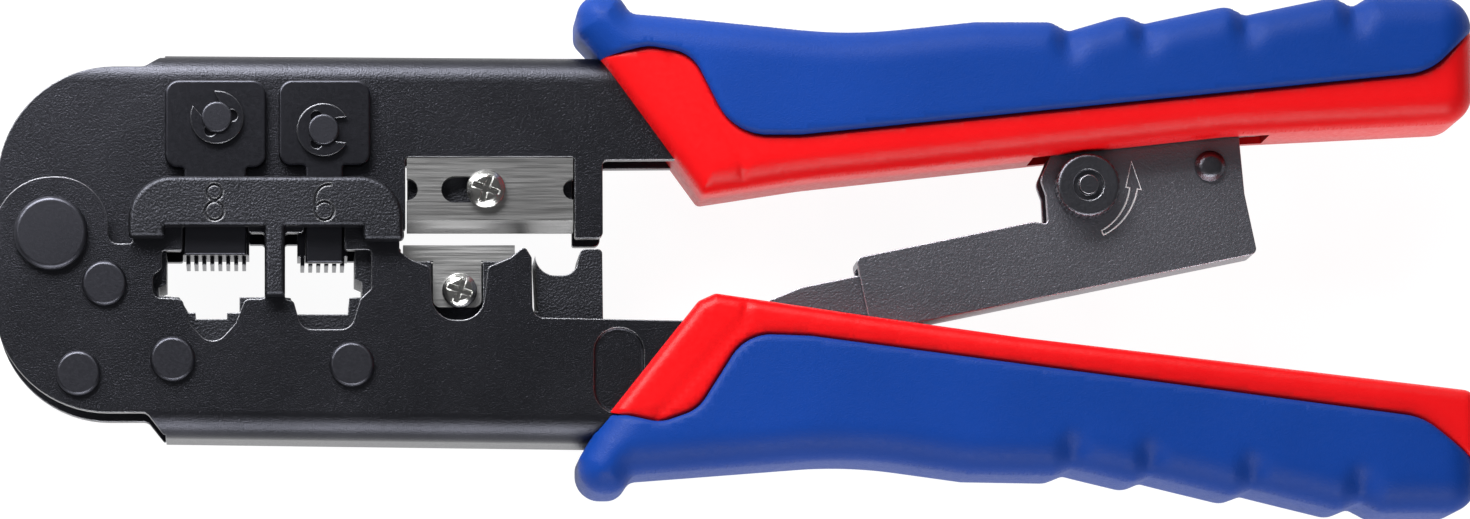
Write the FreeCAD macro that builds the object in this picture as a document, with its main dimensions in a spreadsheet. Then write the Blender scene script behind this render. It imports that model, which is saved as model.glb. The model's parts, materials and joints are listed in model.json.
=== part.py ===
import FreeCAD, Part
import math
import os
import Sketcher
from FreeCAD import Vector

# A hand crimping tool for modular plugs, lying flat: +X runs from the hinge to the handle ends,
# +Y is the upper handle's side and +Z is the front face.  Lengths are in millimetres.
# The two arms are folded steel channels that turn on one main rivet, the upper arm nested inside
# the lower one.  All heights below are measured from the middle plane of the tool.

DIMENSIONS = {
    "mid_plane": 11.0,
    "arm_sheet": 1.8,
    "arm_bend": 3.4,
    "lower_half": 8.0,
    "upper_half": 6.0,
    "pivot_x": -87.8,
    "pivot_y": 2.5,
    "pivot_shaft": 3.0,
    "running_gap": 0.05,
    "small_rivet_shaft": 1.5,
    "small_rivet_head": 2.85,
    "plate_front": 6.2,
    "plate_sheet": 1.5,
    "guide_back": 8.0,
    "guide_depth": 2.6,
    "die_half": 6.2,
    "comb_half": 4.0,
    "contact_pitch": 1.02,
    "blade_back": 4.0,
    "blade_sheet": 2.0,
    "carrier_half": 4.2,
    "screw_head": 2.5,
    "shell_half": 10.0,
    "pad_half": 11.0,
    "strut_slot_half": 4.6,
    "housing_half": 3.9,
    "housing_sheet": 1.2,
    "tongue_half": 2.4,
    "tongue_x": 4.0,
    "tongue_y": -7.5,
    "housing_x": 61.3,
    "housing_y": 18.5,
    "strut_pin": 1.5,
    "tongue_pin_drop": 2.0,
    "strut_tilt": 11.5,
    "knob_x": 45.2,
    "knob_y": 8.9,
    "knob_radius": 4.1,
    "knob_height": 3.2,
    "pawl_back": 2.2,
    "pawl_sheet": 3.2,
}

document = FreeCAD.newDocument("crimping_tool")
sheet = document.addObject("Spreadsheet::Sheet", "dims")
for row, (alias, value) in enumerate(DIMENSIONS.items(), start=1):
    sheet.set("A%d" % row, alias)
    sheet.set("B%d" % row, str(value))
    sheet.setAlias("B%d" % row, alias)
document.recompute()

nodes = []


def dim(alias):
    """A driving dimension, read from the spreadsheet."""
    return float(sheet.get(alias))


PIVOT = (dim("pivot_x"), dim("pivot_y"))
STRUT_ORIGIN = (dim("tongue_x"), dim("tongue_y"))
HOUSING_PIN = (dim("housing_x"), dim("housing_y"))
KNOB_AXIS = (dim("knob_x"), dim("knob_y"))
DOMED_RIVET = (61.3, 11.7)
PIN_SHAFT = 1.4
PLUNGERS = {
    "8way": {"pin": (-66.7, 17.4), "contacts": 8, "tip": -1.1},
    "6way": {"pin": (-53.1, 15.8), "contacts": 6, "tip": -1.3},
}
NEST_RIVETS = [(-81.0, -3.9), (-84.3, -15.4), (-72.3, -13.6), (-49.5, -14.3)]
LOWER_SCREW = (-35.7, -4.7)
UPPER_SCREW = (-32.3, 8.4)


# ---------------------------------------------------------------- outlines

def outline(corners):
    """Closed outline through corners (x, y) or (x, y, radius), with tangent arcs at the radii."""
    points = [Vector(c[0], c[1], 0) for c in corners]
    radii = [c[2] if len(c) > 2 else 0.0 for c in corners]
    count = len(points)
    arcs = []
    for i, corner in enumerate(points):
        to_last = (points[i - 1] - corner).normalize()
        to_next = (points[(i + 1) % count] - corner).normalize()
        angle = to_last.getAngle(to_next)
        if radii[i] == 0 or abs(angle - math.pi) < 0.01:
            arcs.append((corner, None, corner))
            continue
        reach = radii[i] / math.tan(angle / 2)
        bisector = (to_last + to_next).normalize()
        centre = corner + bisector * (radii[i] / math.sin(angle / 2))
        middle = centre - bisector * radii[i]
        arcs.append((corner + to_last * reach, middle, corner + to_next * reach))
    edges = []
    for i, (start, middle, end) in enumerate(arcs):
        if middle is not None:
            edges.append(Part.Arc(start, middle, end))
        following = arcs[(i + 1) % count][0]
        if end.distanceToPoint(following) > 1e-4:
            edges.append(Part.LineSegment(end, following))
    return edges


def box_outline(x_low, y_low, x_high, y_high, radius=0.0):
    """Rectangle with one corner radius."""
    return outline([(x_low, y_low, radius), (x_high, y_low, radius),
                    (x_high, y_high, radius), (x_low, y_high, radius)])


def ring(centre, radius):
    """Full circle as a list of one curve."""
    return [Part.Circle(Vector(centre[0], centre[1], 0), Vector(0, 0, 1), radius)]


def slot_outline(start, end, radius):
    """Round-ended slot between two centres."""
    along = Vector(end[0] - start[0], end[1] - start[1], 0).normalize()
    side = Vector(-along.y, along.x, 0) * radius
    first = Vector(start[0], start[1], 0)
    last = Vector(end[0], end[1], 0)
    return [Part.LineSegment(first - side, last - side),
            Part.Arc(last - side, last + along * radius, last + side),
            Part.LineSegment(last + side, first + side),
            Part.Arc(first + side, first - along * radius, first - side)]


def beside(origin, tilt, along, across):
    """Point at a distance along and across a line that leaves origin at tilt degrees."""
    turn = math.radians(tilt)
    return (origin[0] + along * math.cos(turn) - across * math.sin(turn),
            origin[1] + along * math.sin(turn) + across * math.cos(turn))


def along_strut(along, across):
    """Point on the strut, measured along its own axis from the tongue's hinge."""
    return beside(STRUT_ORIGIN, dim("strut_tilt"), along, across)


TONGUE_PIN = along_strut(0, -dim("tongue_pin_drop"))


# ---------------------------------------------------------------- features

def new_body(name):
    """Body of one node, with its local zero height on the tool's middle plane."""
    body = document.addObject("PartDesign::Body", name)
    body.Label = name
    body.setExpression("Placement.Base.z", "dims.mid_plane")
    nodes.append(body)
    return body


def sketch_in(body, curves, height, plane="XY_Plane"):
    """Sketch of the given curves, lifted to a height that is an expression or a number."""
    sketch = body.newObject("Sketcher::SketchObject", body.Name + "_sketch")
    base = [f for f in body.Origin.OriginFeatures if f.Role == plane][0]
    sketch.AttachmentSupport = (base, "")
    sketch.MapMode = "FlatFace"
    sketch.setExpression("AttachmentOffset.Base.z", str(height))
    sketch.addGeometry(curves, False)
    sketch.recompute()
    return sketch


def pad(body, curves, bottom, thickness):
    """Solid from the sketch at bottom, upwards."""
    feature = body.newObject("PartDesign::Pad", body.Name + "_pad")
    feature.Profile = sketch_in(body, curves, bottom)
    feature.setExpression("Length", str(thickness))
    feature.recompute()
    return feature


def pocket(body, curves, bottom, thickness):
    """Cut from the sketch at bottom, upwards; it must take material away."""
    before = body.Tip.Shape.Volume
    feature = body.newObject("PartDesign::Pocket", body.Name + "_pocket")
    feature.Profile = sketch_in(body, curves, bottom)
    feature.Reversed = True
    feature.setExpression("Length", str(thickness))
    feature.recompute()
    if feature.Shape.Volume > before - 0.01:
        raise RuntimeError("a pocket in %s cuts nothing" % body.Name)
    return feature


def revolve(body, profile):
    """Solid of revolution about the body's vertical axis, from (radius, height) corners."""
    feature = body.newObject("PartDesign::Revolution", body.Name + "_turned")
    sketch = sketch_in(body, outline(profile), 0, "XZ_Plane")
    feature.Profile = sketch
    feature.ReferenceAxis = (sketch, ["V_Axis"])
    feature.Angle = 360
    feature.recompute()
    return feature


def turned(name, centre, profile):
    """Node that is one turned piece standing at centre."""
    body = new_body(name)
    revolve(body, profile)
    body.Placement.Base.x = centre[0]
    body.Placement.Base.y = centre[1]
    return body


def edges_where(shape, test):
    """Names of the edges whose middle point passes the test."""
    names = []
    for index, edge in enumerate(shape.Edges, start=1):
        middle = edge.valueAt((edge.FirstParameter + edge.LastParameter) / 2)
        if test(edge, middle):
            names.append("Edge%d" % index)
    return names


def round_edges(body, radius, test):
    """Fillet on every edge of the body that passes the test."""
    base = body.Tip
    names = edges_where(base.Shape, test)
    feature = body.newObject("PartDesign::Fillet", body.Name + "_fillet")
    feature.Base = (base, names)
    feature.Radius = radius
    feature.recompute()
    return feature


# ---------------------------------------------------------------- lower arm

LOWER_STEP = (-73.2, -23.5)
LOWER_TAIL = (74.0, -25.6)
UPPER_STEP = (-73.4, 26.0)
UPPER_TAIL = (76.0, 25.2)
TAIL_HEIGHT = 8.0


def lower_arm_corners():
    """Outline of the lower arm, from the hinge ring along the top edge and back underneath."""
    ring_radius = 7.3
    x, y = PIVOT
    head = [(x - ring_radius, y + ring_radius, ring_radius), (x + ring_radius, y + ring_radius, 6.5),
            (x + ring_radius, 1.2, 1.2)]
    guide_posts = [(-77.4, 1.2, 0.5), (-77.4, 8.0, 2.0), (-71.1, 8.0, 0.4), (-71.1, 0.3, 0.3)]
    left_nest = [(-73.7, 0.3, 0.4), (-73.7, -2.0, 0.6), (-74.8, -2.9, 0.8), (-74.8, -5.7, 0.9)]
    return head + guide_posts + left_nest


def lower_edge_corners():
    """Top edge of the lower arm from the nest's left corner to the grip."""
    eight_way = [(-71.1, -5.9, 0.8), (-70.2, -9.0, 1.5), (-67.2, -12.2, 2.0), (-64.3, -9.0, 1.5),
                 (-63.1, -5.9, 0.8)]
    middle_post = [(-60.6, -5.9, 0.4), (-60.6, 2.6, 0.4), (-62.7, 2.6, 0.4), (-62.7, 8.0, 0.4),
                   (-55.6, 8.0, 0.4), (-55.6, 2.6, 0.4), (-58.0, 2.6, 0.4), (-58.0, -5.9, 0.4)]
    six_way = [(-56.9, -6.2, 0.6), (-55.9, -9.8, 1.8), (-49.6, -9.8, 1.8), (-48.4, -5.9, 1.0),
               (-47.0, -4.6, 0.8), (-47.0, 0.4, 0.5), (-50.4, 0.4, 0.3), (-50.4, 8.0, 0.4),
               (-43.4, 8.0, 2.0), (-43.4, 0.2, 0.5)]
    blade_nest = [(-42.0, -0.8, 0.5), (-39.5, -1.8, 0.5), (-39.1, -8.6, 3.0), (-32.9, -8.6, 3.0),
                  (-32.1, -1.8, 0.6), (-29.2, -0.6, 1.0), (-27.4, 0.9, 0.5), (-26.5, -0.6, 0.5)]
    neck = [(-26.4, -8.3, 1.5), (-6.5, -8.7, 3.0)] + hinge_ear()
    return eight_way + middle_post + six_way + blade_nest + neck


def hinge_ear():
    """Raised part of both plates that holds the tongue's pin."""
    x, y = TONGUE_PIN
    return [(x - 4.4, -9.2, 0.8), (x - 3.2, y + 2.5, 1.5), (x + 3.2, y + 2.5, 1.5), (x + 4.4, -9.5, 0.8)]


def lower_under_corners():
    """Underside of the lower arm from the handle's tail back to the hinge."""
    tail = [(12.0, -9.6, 20.0), (LOWER_TAIL[0], LOWER_TAIL[1] + TAIL_HEIGHT), LOWER_TAIL]
    head = [LOWER_STEP, (-75.6, -20.4, 1.2), (PIVOT[0] - 7.3, -20.4, 14.6)]
    return tail + head


def lower_arm():
    """Folded steel channel: two plates joined by a web along the outer edge of the handle."""
    body = new_body("lower_arm")
    corners = lower_arm_corners() + lower_edge_corners() + lower_under_corners()
    pad(body, outline(corners), "-dims.lower_half", "2 * dims.lower_half")
    half = dim("lower_half")
    round_edges(body, dim("arm_bend"), lambda edge, p: abs(abs(p.z) - half) < 0.01
                and edge.Length > 100 and p.y < -22.5)
    wall = dim("arm_sheet")
    x_tail, y_tail = LOWER_TAIL
    inside = [(-100, 20), (-100, -30), (LOWER_STEP[0], -30), (LOWER_STEP[0], LOWER_STEP[1] + wall),
              (x_tail, y_tail + wall), (x_tail + 1, y_tail + wall), (x_tail + 1, 20)]
    pocket(body, outline(inside), "dims.arm_sheet - dims.lower_half",
           "2 * (dims.lower_half - dims.arm_sheet)")
    pocket(body, ring(PIVOT, dim("pivot_shaft")), "-dims.lower_half", "2 * dims.lower_half")
    for centre in NEST_RIVETS:
        pocket(body, ring(centre, dim("small_rivet_shaft")), "-dims.lower_half", "2 * dims.lower_half")
    pocket(body, ring(TONGUE_PIN, dim("strut_pin")), "-dims.lower_half", "2 * dims.lower_half")
    thumb = box_outline(-18.6, -20.6, -12.2, -9.6, 3.1)
    pocket(body, thumb, "dims.lower_half - 0.4", 1)
    round_edges(body, 0.35, lambda edge, p: abs(p.z - half + 0.4) < 0.01 and p.x < -12 and p.x > -19
                and p.y < -9 and p.y > -21)


def upper_arm():
    """Folded steel channel nested inside the lower arm, with a leg that lands on the cable stop."""
    body = new_body("upper_arm")
    x, y = PIVOT
    x_tail, y_tail = UPPER_TAIL
    head = [(x - 6.9, 24.3, 15.0), (-76.0, 24.3, 1.5), UPPER_STEP]
    handle = [UPPER_TAIL, (x_tail, y_tail - TAIL_HEIGHT), (12.0, 12.4, 20.0), (-17.3, 12.2, 0.6)]
    leg = [(-17.3, 2.1, 0.8), (-20.9, 2.1, 0.3), (-20.9, 12.6, 0.4)]
    blade_nest = [(-42.6, 12.6, 0.4), (-42.6, 3.0, 0.5), (-44.0, 3.0, 0.5)]
    under_guide = [(-44.0, 4.8, 0.5), (-74.5, 4.8, 1.0), (-74.5, 0.8, 0.5), (x + 6.9, 0.8, 0.5)]
    hinge = [(x + 6.9, y - 6.9, 6.8), (x - 6.9, y - 6.9, 6.8)]
    corners = head + handle + leg + blade_nest + under_guide + hinge
    pad(body, outline(corners), "-dims.upper_half", "2 * dims.upper_half")
    half = dim("upper_half")
    round_edges(body, dim("arm_bend"), lambda edge, p: abs(abs(p.z) - half) < 0.01
                and edge.Length > 100 and p.y > 24.5)
    wall = dim("arm_sheet")
    inside = [(-100, 30), (-100, -20), (x_tail + 1, -20), (x_tail + 1, y_tail - wall),
              (x_tail, y_tail - wall), (UPPER_STEP[0], UPPER_STEP[1] - wall), (UPPER_STEP[0], 30)]
    pocket(body, outline(inside), "dims.arm_sheet - dims.upper_half",
           "2 * (dims.upper_half - dims.arm_sheet)")
    shaft = dim("pivot_shaft") + dim("running_gap")
    pocket(body, ring(PIVOT, shaft), "-dims.upper_half", "2 * dims.upper_half")
    pocket(body, ring(HOUSING_PIN, dim("strut_pin")), "-dims.upper_half", "2 * dims.upper_half")
    for data in PLUNGERS.values():
        pin_x, pin_y = data["pin"]
        slot = slot_outline((pin_x - 0.1, pin_y), (pin_x + 2.4, pin_y), PIN_SHAFT + 0.45)
        pocket(body, slot, "-dims.upper_half", "2 * dims.upper_half")


# ---------------------------------------------------------------- hinge and rivets


def main_rivet():
    """Large flat-headed rivet through both arms."""
    half = dim("lower_half")
    shaft = dim("pivot_shaft")
    turned("main_rivet", PIVOT, [(0, -half - 1.4), (4.3, -half - 1.4, 0.4), (4.7, -half - 1.0, 0.2),
                                 (4.7, -half), (shaft, -half), (shaft, half), (4.7, half),
                                 (4.7, half + 1.0, 0.2), (4.3, half + 1.4, 0.4), (0, half + 1.4)])


def pivot_bush():
    """Spacer between the upper arm's two plates, round the main rivet."""
    inner = dim("pivot_shaft") + dim("running_gap")
    reach = dim("upper_half") - dim("arm_sheet")
    turned("pivot_bush", PIVOT, [(inner, -reach), (4.6, -reach), (4.6, reach), (inner, reach)])


def small_rivets():
    """Four rivets that hold the die block and the head spacer between the lower arm's plates."""
    half = dim("lower_half")
    shaft = dim("small_rivet_shaft")
    head = dim("small_rivet_head")
    profile = [(0, -half - 0.9), (head - 0.3, -half - 0.9, 0.2), (head, -half - 0.6, 0.2), (head, -half),
               (shaft, -half), (shaft, half), (head, half), (head, half + 0.6, 0.2),
               (head - 0.3, half + 0.9, 0.2), (0, half + 0.9)]
    pieces = []
    for number, centre in enumerate(NEST_RIVETS, start=1):
        piece = turned("die_rivet_%d" % number, centre, profile)
        nodes.remove(piece)
        pieces.append(piece)
    group = document.addObject("Part::Compound", "die_rivets")
    group.Label = "die_rivets"
    group.Links = pieces
    nodes.append(group)


def head_spacer():
    """Tube round the outer head rivet that keeps the lower arm's plates apart."""
    reach = dim("lower_half") - dim("arm_sheet")
    shaft = dim("small_rivet_shaft")
    turned("head_spacer", NEST_RIVETS[1], [(shaft, -reach), (2.9, -reach), (2.9, reach), (shaft, reach)])


# ---------------------------------------------------------------- die, guide and plungers

def die_block():
    """Hardened block between the plates, with the two plug nests and the seat of the lower blade."""
    body = new_body("die_block")
    corners = [(-78.0, 0.0, 1.0), (-73.1, 0.2), (-73.1, -3.9), (-74.1, -4.3), (-74.1, -5.3), (-71.5, -5.5),
               (-70.3, -7.5), (-69.4, -7.5), (-69.4, -8.3), (-65.4, -8.3), (-65.4, -7.5), (-63.8, -7.5),
               (-63.8, -5.5), (-60.4, -5.5), (-60.4, 0.2, 0.3), (-58.2, 0.2, 0.3), (-58.2, -5.5),
               (-57.3, -5.6), (-56.5, -7.7), (-50.0, -7.7), (-49.8, -5.6), (-48.2, -5.5), (-48.2, -3.6),
               (-49.1, -3.2), (-49.1, 0.8, 0.3), (-43.2, 0.8, 0.3), (-43.2, -0.9), (-27.5, -0.9, 0.4),
               (-27.5, -16.5, 1.5), (-78.0, -16.5, 1.5)]
    pad(body, outline(corners), "-dims.die_half", "2 * dims.die_half")
    blade_seat = [(-39.3, -0.8), (-39.3, -8.8, 2.0), (-32.7, -8.8, 2.0), (-32.7, -0.8)]
    pocket(body, outline(blade_seat), "dims.blade_back", "dims.die_half - dims.blade_back")
    pocket(body, ring(LOWER_SCREW, 1.25), -2, 10)
    for centre in NEST_RIVETS[2:]:
        pocket(body, ring(centre, dim("small_rivet_shaft")), "-dims.die_half", "2 * dims.die_half")


def guide_bar():
    """Cast bar in front of the arm that guides the two plunger stems; it carries the numbers 8 and 6."""
    body = new_body("guide_bar")
    corners = [(-77.9, 1.9, 0.4), (-77.9, 9.6, 5.5), (-43.0, 9.6, 5.5), (-43.0, 1.5, 0.4),
               (-48.1, 1.5, 0.4), (-48.1, 3.3, 0.3), (-58.0, 3.3, 0.3), (-58.0, -5.6, 0.3),
               (-60.6, -5.6, 0.3), (-60.6, 3.3, 0.3), (-73.3, 3.3, 0.3), (-73.3, 1.9, 0.4)]
    pad(body, outline(corners), "dims.guide_back", "dims.guide_depth")
    front = dim("guide_back") + dim("guide_depth")
    round_edges(body, 0.6, lambda edge, p: abs(p.z - front) < 0.01)
    for centre, mark in (((-67.0, 6.3), number_eight), ((-53.0, 6.3), number_six)):
        for stroke in mark(centre):
            pocket(body, stroke, front - 0.35, 1)


def number_eight(centre):
    """Two ring grooves, one above the other."""
    x, y = centre
    return [ring((x, y + 1.25), 1.15) + ring((x, y + 1.25), 0.8),
            ring((x, y - 1.15), 1.35) + ring((x, y - 1.15), 1.0)]


def number_six(centre):
    """A ring groove with a stem that rises from its left side and bends to the right."""
    x, y = centre
    stem = outline([(x - 1.35, y - 1.2), (x - 1.0, y - 1.2), (x - 1.0, y + 2.05, 1.6),
                    (x + 0.9, y + 2.05), (x + 0.9, y + 2.4), (x - 1.35, y + 2.4, 2.0)])
    return [ring((x, y - 1.15), 1.35) + ring((x, y - 1.15), 1.0), stem]


def plunger_plate(name, left, right, bottom, top, stem_left, stem_right, stem_end, pin):
    """Flat pusher in front of the upper arm, with a stem behind the guide bar."""
    body = new_body(name)
    stem = [(stem_left, bottom, 0.4), (stem_left, stem_end, 0.3),
            (stem_right, stem_end, 0.3), (stem_right, bottom, 0.4)]
    corners = [(left, top, 1.8), (left, bottom, 1.6)] + stem + [(right, bottom, 1.6), (right, top, 1.8)]
    pad(body, outline(corners), "dims.plate_front", "dims.plate_sheet")
    pocket(body, ring(pin, PIN_SHAFT), "dims.plate_front", "dims.plate_sheet")
    face = dim("plate_front") + dim("plate_sheet")
    round_edges(body, 0.3, lambda edge, p: abs(p.z - face) < 0.01 and edge.Length < 30
                and math.dist((p.x, p.y), pin) > 2)


def crimp_comb(name, pin, contacts, tip, top):
    """Punch between the upper arm's plates, with one tooth for each contact of the plug."""
    body = new_body(name)
    pitch = dim("contact_pitch")
    width = pitch * contacts + 0.3
    tooth = 0.5
    root = tip + 1.2
    centre = pin[0] - 0.1
    left = centre - width / 2
    right = centre + width / 2
    pad(body, box_outline(left, root, right, top), "-dims.comb_half", "2 * dims.comb_half")
    first = centre - pitch * (contacts - 1) / 2
    for index in range(contacts):
        x = first + index * pitch
        pad(body, box_outline(x - tooth / 2, tip, x + tooth / 2, root + 0.2), "-dims.comb_half",
            "2 * dims.comb_half")
    pocket(body, ring(pin, PIN_SHAFT), "-dims.comb_half", "2 * dims.comb_half")


def plunger_pin(name, pin):
    """Pin that ties the pusher plate to the comb through the upper arm's slots."""
    back = -dim("comb_half")
    face = dim("plate_front") + dim("plate_sheet")
    turned(name, pin, [(0, back), (PIN_SHAFT, back), (PIN_SHAFT, face), (1.95, face), (1.95, face + 0.3),
                       (1.6, face + 0.3), (1.6, face + 0.8), (1.95, face + 0.8), (1.95, face + 1.3, 0.2),
                       (0, face + 1.3)])


def retaining_ring(name, pin, opening):
    """C-shaped spring ring in the pin's groove, with its mouth towards the opening angle."""
    body = new_body(name)
    face = dim("plate_front") + dim("plate_sheet")
    pad(body, ring(pin, 3.4) + ring(pin, 1.6), face + 0.3, 0.5)
    mouth = [beside(pin, opening, 0.0, -1.3), beside(pin, opening, 5.0, -1.9),
             beside(pin, opening, 5.0, 1.9), beside(pin, opening, 0.0, 1.3)]
    pocket(body, outline(mouth), face, 2)
    for turn in (-1, 1):
        relief = beside(pin, opening + turn * 118, 1.9, 0)
        pocket(body, ring(relief, 0.75), face, 2)


def plungers():
    """The 8-way and the 6-way plunger, four pieces each."""
    eight = PLUNGERS["8way"]["pin"]
    six = PLUNGERS["6way"]["pin"]
    plunger_plate("plunger_plate_8way", -73.3, -60.4, 11.0, 22.3, -70.9, -62.9, -0.2, eight)
    plunger_plate("plunger_plate_6way", -58.8, -47.1, 11.3, 22.3, -55.4, -50.6, -1.2, six)
    for size, data in PLUNGERS.items():
        crimp_comb("crimp_comb_" + size, data["pin"], data["contacts"], data["tip"], data["pin"][1] + 3.0)
        plunger_pin("plunger_pin_" + size, data["pin"])
    retaining_ring("retaining_ring_8way", eight, 125)
    retaining_ring("retaining_ring_6way", six, 0)


# ---------------------------------------------------------------- blades

def screw(name, centre, seat, depth, head):
    """Pan-head screw with a combined cross and slot recess."""
    body = new_body(name)
    revolve(body, [(0, seat - depth), (1.25, seat - depth), (1.25, seat), (head, seat),
                   (head, seat + 0.9, 0.3), (head - 0.9, seat + 1.6, 0.9), (0, seat + 1.6)])
    body.Placement.Base.x = centre[0]
    body.Placement.Base.y = centre[1]
    for tilt in (-20, 70):
        reach = 0.7 * head
        bar = [beside((0, 0), tilt, along, across)
               for along, across in ((-reach, -0.35), (reach, -0.35), (reach, 0.35), (-reach, 0.35))]
        pocket(body, outline(bar), seat + 0.4, 2)


def upper_blade():
    """Trapezoidal-ground blade in the notch of the upper arm's front plate, on its carrier."""
    carrier = new_body("blade_carrier")
    pad(carrier, box_outline(-42.2, 5.0, -21.2, 23.0, 0.5), "-dims.carrier_half",
        "dims.carrier_half + dims.blade_back")
    pocket(carrier, ring(UPPER_SCREW, 1.25), -1, 8)
    blade = new_body("upper_blade")
    pad(blade, box_outline(-42.4, 2.9, -21.1, 12.5), "dims.blade_back", "dims.blade_sheet")
    pocket(blade, slot_outline((-36.3, UPPER_SCREW[1]), (-31.6, UPPER_SCREW[1]), 1.7), "dims.blade_back",
           "dims.blade_sheet")
    for x, radius in ((-42.4, 1.4), (-21.1, 1.3)):
        pocket(blade, ring((x, UPPER_SCREW[1]), radius), "dims.blade_back", "dims.blade_sheet")
    base = blade.Tip
    face = dim("blade_back") + dim("blade_sheet")
    names = edges_where(base.Shape, lambda edge, p: p.y < 3.0 and abs(p.z - face) < 0.01)
    bevel = blade.newObject("PartDesign::Chamfer", "upper_blade_bevel")
    bevel.Base = (base, names)
    bevel.Size = 1.5
    screw("upper_blade_screw", UPPER_SCREW, face, 6.0, dim("screw_head"))


def lower_blade():
    """T-shaped blade seated in the die block."""
    blade = new_body("lower_blade")
    corners = [(-42.9, 1.2), (-42.9, -0.8), (-39.1, -0.8), (-39.1, -6.8, 1.0), (-32.9, -6.8, 1.0),
               (-32.9, -0.8), (-28.6, -0.8), (-28.6, 1.2)]
    pad(blade, outline(corners), "dims.blade_back", "dims.blade_sheet")
    pocket(blade, ring(LOWER_SCREW, 1.3), "dims.blade_back", "dims.blade_sheet")
    screw("lower_blade_screw", LOWER_SCREW, dim("blade_back") + dim("blade_sheet"), 6.0, 2.25)


def cable_stop():
    """Block between the lower arm's plates with a round notch for stripping a round cable."""
    body = new_body("cable_stop")
    corners = [(-26.1, 2.1, 0.2), (-25.9, -2.7, 2.6), (-20.9, -2.7, 2.0), (-20.2, 0.7, 0.8),
               (-17.4, 0.7, 0.6), (-17.3, -13.0, 0.5), (-26.1, -13.0, 0.5)]
    pad(body, outline(corners), "-dims.die_half", "2 * dims.die_half")


# ---------------------------------------------------------------- grips

def upper_grip_line():
    """Corners of the line between the blue pad and the red shell of the upper grip, left to right."""
    return [(-11.5, 26.6, 5.0), (-5.9, 25.6, 5.0), (-0.6, 15.1, 7.0), (8.0, 15.1, 7.0),
            (89.2, 23.3, 8.0), (95.1, 29.0)]


def lower_grip_line():
    """The same line on the lower grip, left to right."""
    return [(-10.2, -22.0, 5.0), (-5.4, -20.3, 5.0), (0.8, -10.6, 6.0), (9.0, -10.9, 8.0),
            (87.6, -21.4, 8.0), (95.1, -27.5)]


def upper_grip_top():
    """Outer edge of the upper grip, right to left, with four finger hollows."""
    crests = [(95.1, 33.5, 4.4), (82.0, 33.5, 3.0), (79.7, 32.1, 1.2), (77.2, 33.4, 3.0), (65.7, 31.0, 1.2),
              (63.4, 32.2, 3.0), (52.6, 29.9, 1.2), (50.0, 31.0, 3.0), (42.8, 28.9, 1.2), (40.5, 30.1, 3.0)]
    waist = [(30.8, 30.1), (14.5, 28.4, 60.0), (-8.8, 30.7)]
    guard = [(-13.6, 31.1, 1.5), (-15.2, 33.5, 2.2), (-20.6, 33.5, 3.0), (-20.6, 28.6, 2.0)]
    return crests + waist + guard


def lower_grip_bottom():
    """Outer edge of the lower grip, left to right."""
    guard = [(-18.7, -23.2, 1.0), (-20.6, -26.4, 2.0), (-20.6, -30.8, 3.2), (-15.2, -30.8, 2.6),
             (-13.6, -28.4, 1.5)]
    waist = [(-6.8, -27.9), (14.5, -26.3, 60.0), (29.5, -28.4)]
    crests = [(40.3, -28.6, 3.0), (42.6, -27.7, 1.2), (50.4, -29.6, 3.0), (52.6, -28.7, 1.2),
              (63.2, -31.3, 3.0), (65.7, -30.4, 1.2), (77.0, -33.2, 3.0), (79.7, -32.1, 1.2),
              (82.4, -33.5, 3.0), (95.1, -33.5, 4.4)]
    return guard + waist + crests


def core_cut(body, corners, half):
    """Cavity of a grip for the steel arm inside it."""
    pocket(body, outline(corners), "-" + half, "2 * " + half)


def upper_core():
    """Outline of the upper arm inside its grip."""
    x_tail, y_tail = UPPER_TAIL
    return [UPPER_STEP, UPPER_TAIL, (x_tail, y_tail - TAIL_HEIGHT), (12.0, 12.4, 20.0),
            (-17.3, 12.2), (-30.0, 12.2)]


def lower_core():
    """Outline of the lower arm inside its grip."""
    x_tail, y_tail = LOWER_TAIL
    return [(-30.0, -8.3), (-26.4, -8.3), (-6.5, -8.7)] + hinge_ear() + [(12.0, -9.6, 20.0),
            (x_tail, y_tail + TAIL_HEIGHT), LOWER_TAIL, LOWER_STEP]


def grip_pieces(side, red_edge, colour_line, outer_edge, core, core_half, strut_slot):
    """Hard red shell and soft blue pad of one grip, both fitted over the steel arm."""
    shell = new_body(side + "_grip_shell")
    pad(shell, outline(red_edge + colour_line[::-1]), "-dims.shell_half", "2 * dims.shell_half")
    pad_body = new_body(side + "_grip_pad")
    pad(pad_body, outline(colour_line + outer_edge), "-dims.pad_half", "2 * dims.pad_half")
    for body in (shell, pad_body):
        core_cut(body, core, core_half)
    pocket(shell, outline(strut_slot), "-dims.strut_slot_half", "2 * dims.strut_slot_half")


def upper_grip():
    """Grip of the upper arm; the ratchet strut passes through a slot in its underside."""
    red_edge = [(-17.4, 25.2), (-5.6, 8.9, 1.2), (-4.6, 7.5, 0.8), (8.4, 9.5, 60.0), (63.2, 15.4),
                (95.1, 17.0, 4.0)]
    strut_slot = [(38.3, 5.0), (69.0, 5.0), (69.0, 20.0, 2.0), (38.3, 20.0, 2.0)]
    grip_pieces("upper", red_edge, upper_grip_line(), upper_grip_top() + red_edge[:1],
                upper_core(), "dims.upper_half", strut_slot)


def lower_grip():
    """Grip of the lower arm; its slot takes the foot of the ratchet strut."""
    red_edge = [(-16.6, -20.5), (-5.2, -6.2, 1.0), (-3.0, -5.2, 1.0), (16.4, -8.1, 60.0), (36.2, -10.9),
                (95.1, -17.9, 2.2)]
    strut_slot = [(-1.0, 0.0), (-1.0, -15.0, 2.0), (27.0, -15.0, 2.0), (27.0, 0.0)]
    grip_pieces("lower", red_edge, lower_grip_line(), lower_grip_bottom()[::-1] + red_edge[:1],
                lower_core(), "dims.lower_half", strut_slot)


# ---------------------------------------------------------------- ratchet strut

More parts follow.
